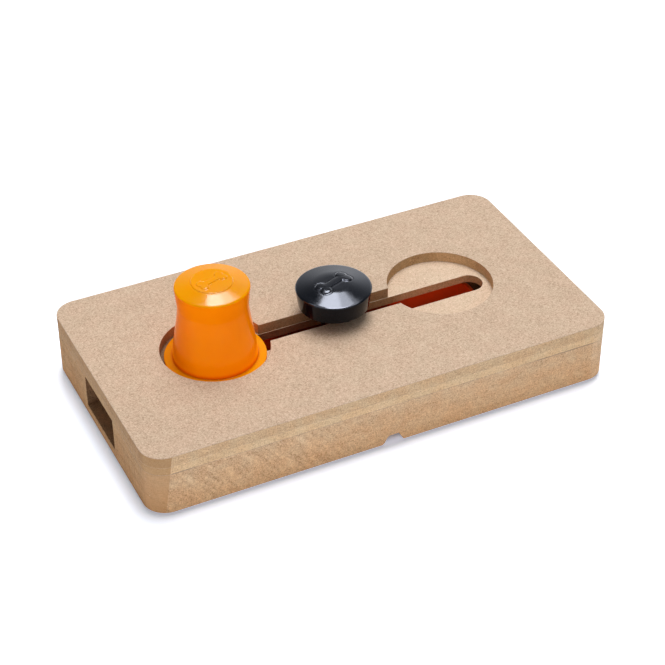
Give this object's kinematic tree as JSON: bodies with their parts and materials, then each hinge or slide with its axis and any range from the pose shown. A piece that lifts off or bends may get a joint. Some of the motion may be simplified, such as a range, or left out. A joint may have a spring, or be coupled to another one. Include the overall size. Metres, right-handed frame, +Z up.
{
  "type": "dog puzzle toy",
  "caption": "Laminated fibreboard dog puzzle: a knob in a slot slides a hidden treat drawer out of the board's ends, and a waisted plastic cup lifts out of a round recess.",
  "frame": {"origin": "on the surface that the feet stand on, under the centre of the board", "axes": "+X along the board and the slot, away from the cup; +Y from the front edge to the back; +Z up"},
  "size_m": [0.3, 0.1634, 0.0905],
  "materials": {
    "fibreboard_face": "raw medium-density fibreboard, fine fibre speckle",
    "fibreboard_deck": "raw medium-density fibreboard, lighter sheet",
    "fibreboard_core": "raw medium-density fibreboard, sanded edge",
    "orange_plastic": "glossy moulded plastic",
    "drawer_plastic": "satin moulded plastic, red-orange",
    "black_plastic": "glossy moulded plastic",
    "screw_steel": "zinc plated",
    "foot_rubber": "matt"
  },
  "bodies": {
    "board": {"bottom_panel": "fibreboard_core", "front_block": "fibreboard_core", "back_block": "fibreboard_core", "deck_panel": "fibreboard_deck", "top_panel": "fibreboard_face", "panel_screws": "screw_steel", "rubber_feet": "foot_rubber"},
    "slider": {"drawer": "drawer_plastic", "knob": "black_plastic", "knob_screw": "screw_steel", "knob_washer": "screw_steel"},
    "cup": {"treat_cup": "orange_plastic"}
  },
  "joints": [
    {"name": "knob_slide", "type": "slide", "parent": "board", "child": "slider", "axis": [1, 0, 0], "range_m": [-0.03, 0.0946]},
    {"name": "cup_lift", "type": "slide", "parent": "board", "child": "cup", "axis": [0, 0, 1], "range_m": [0, 0.08]}
  ]
}
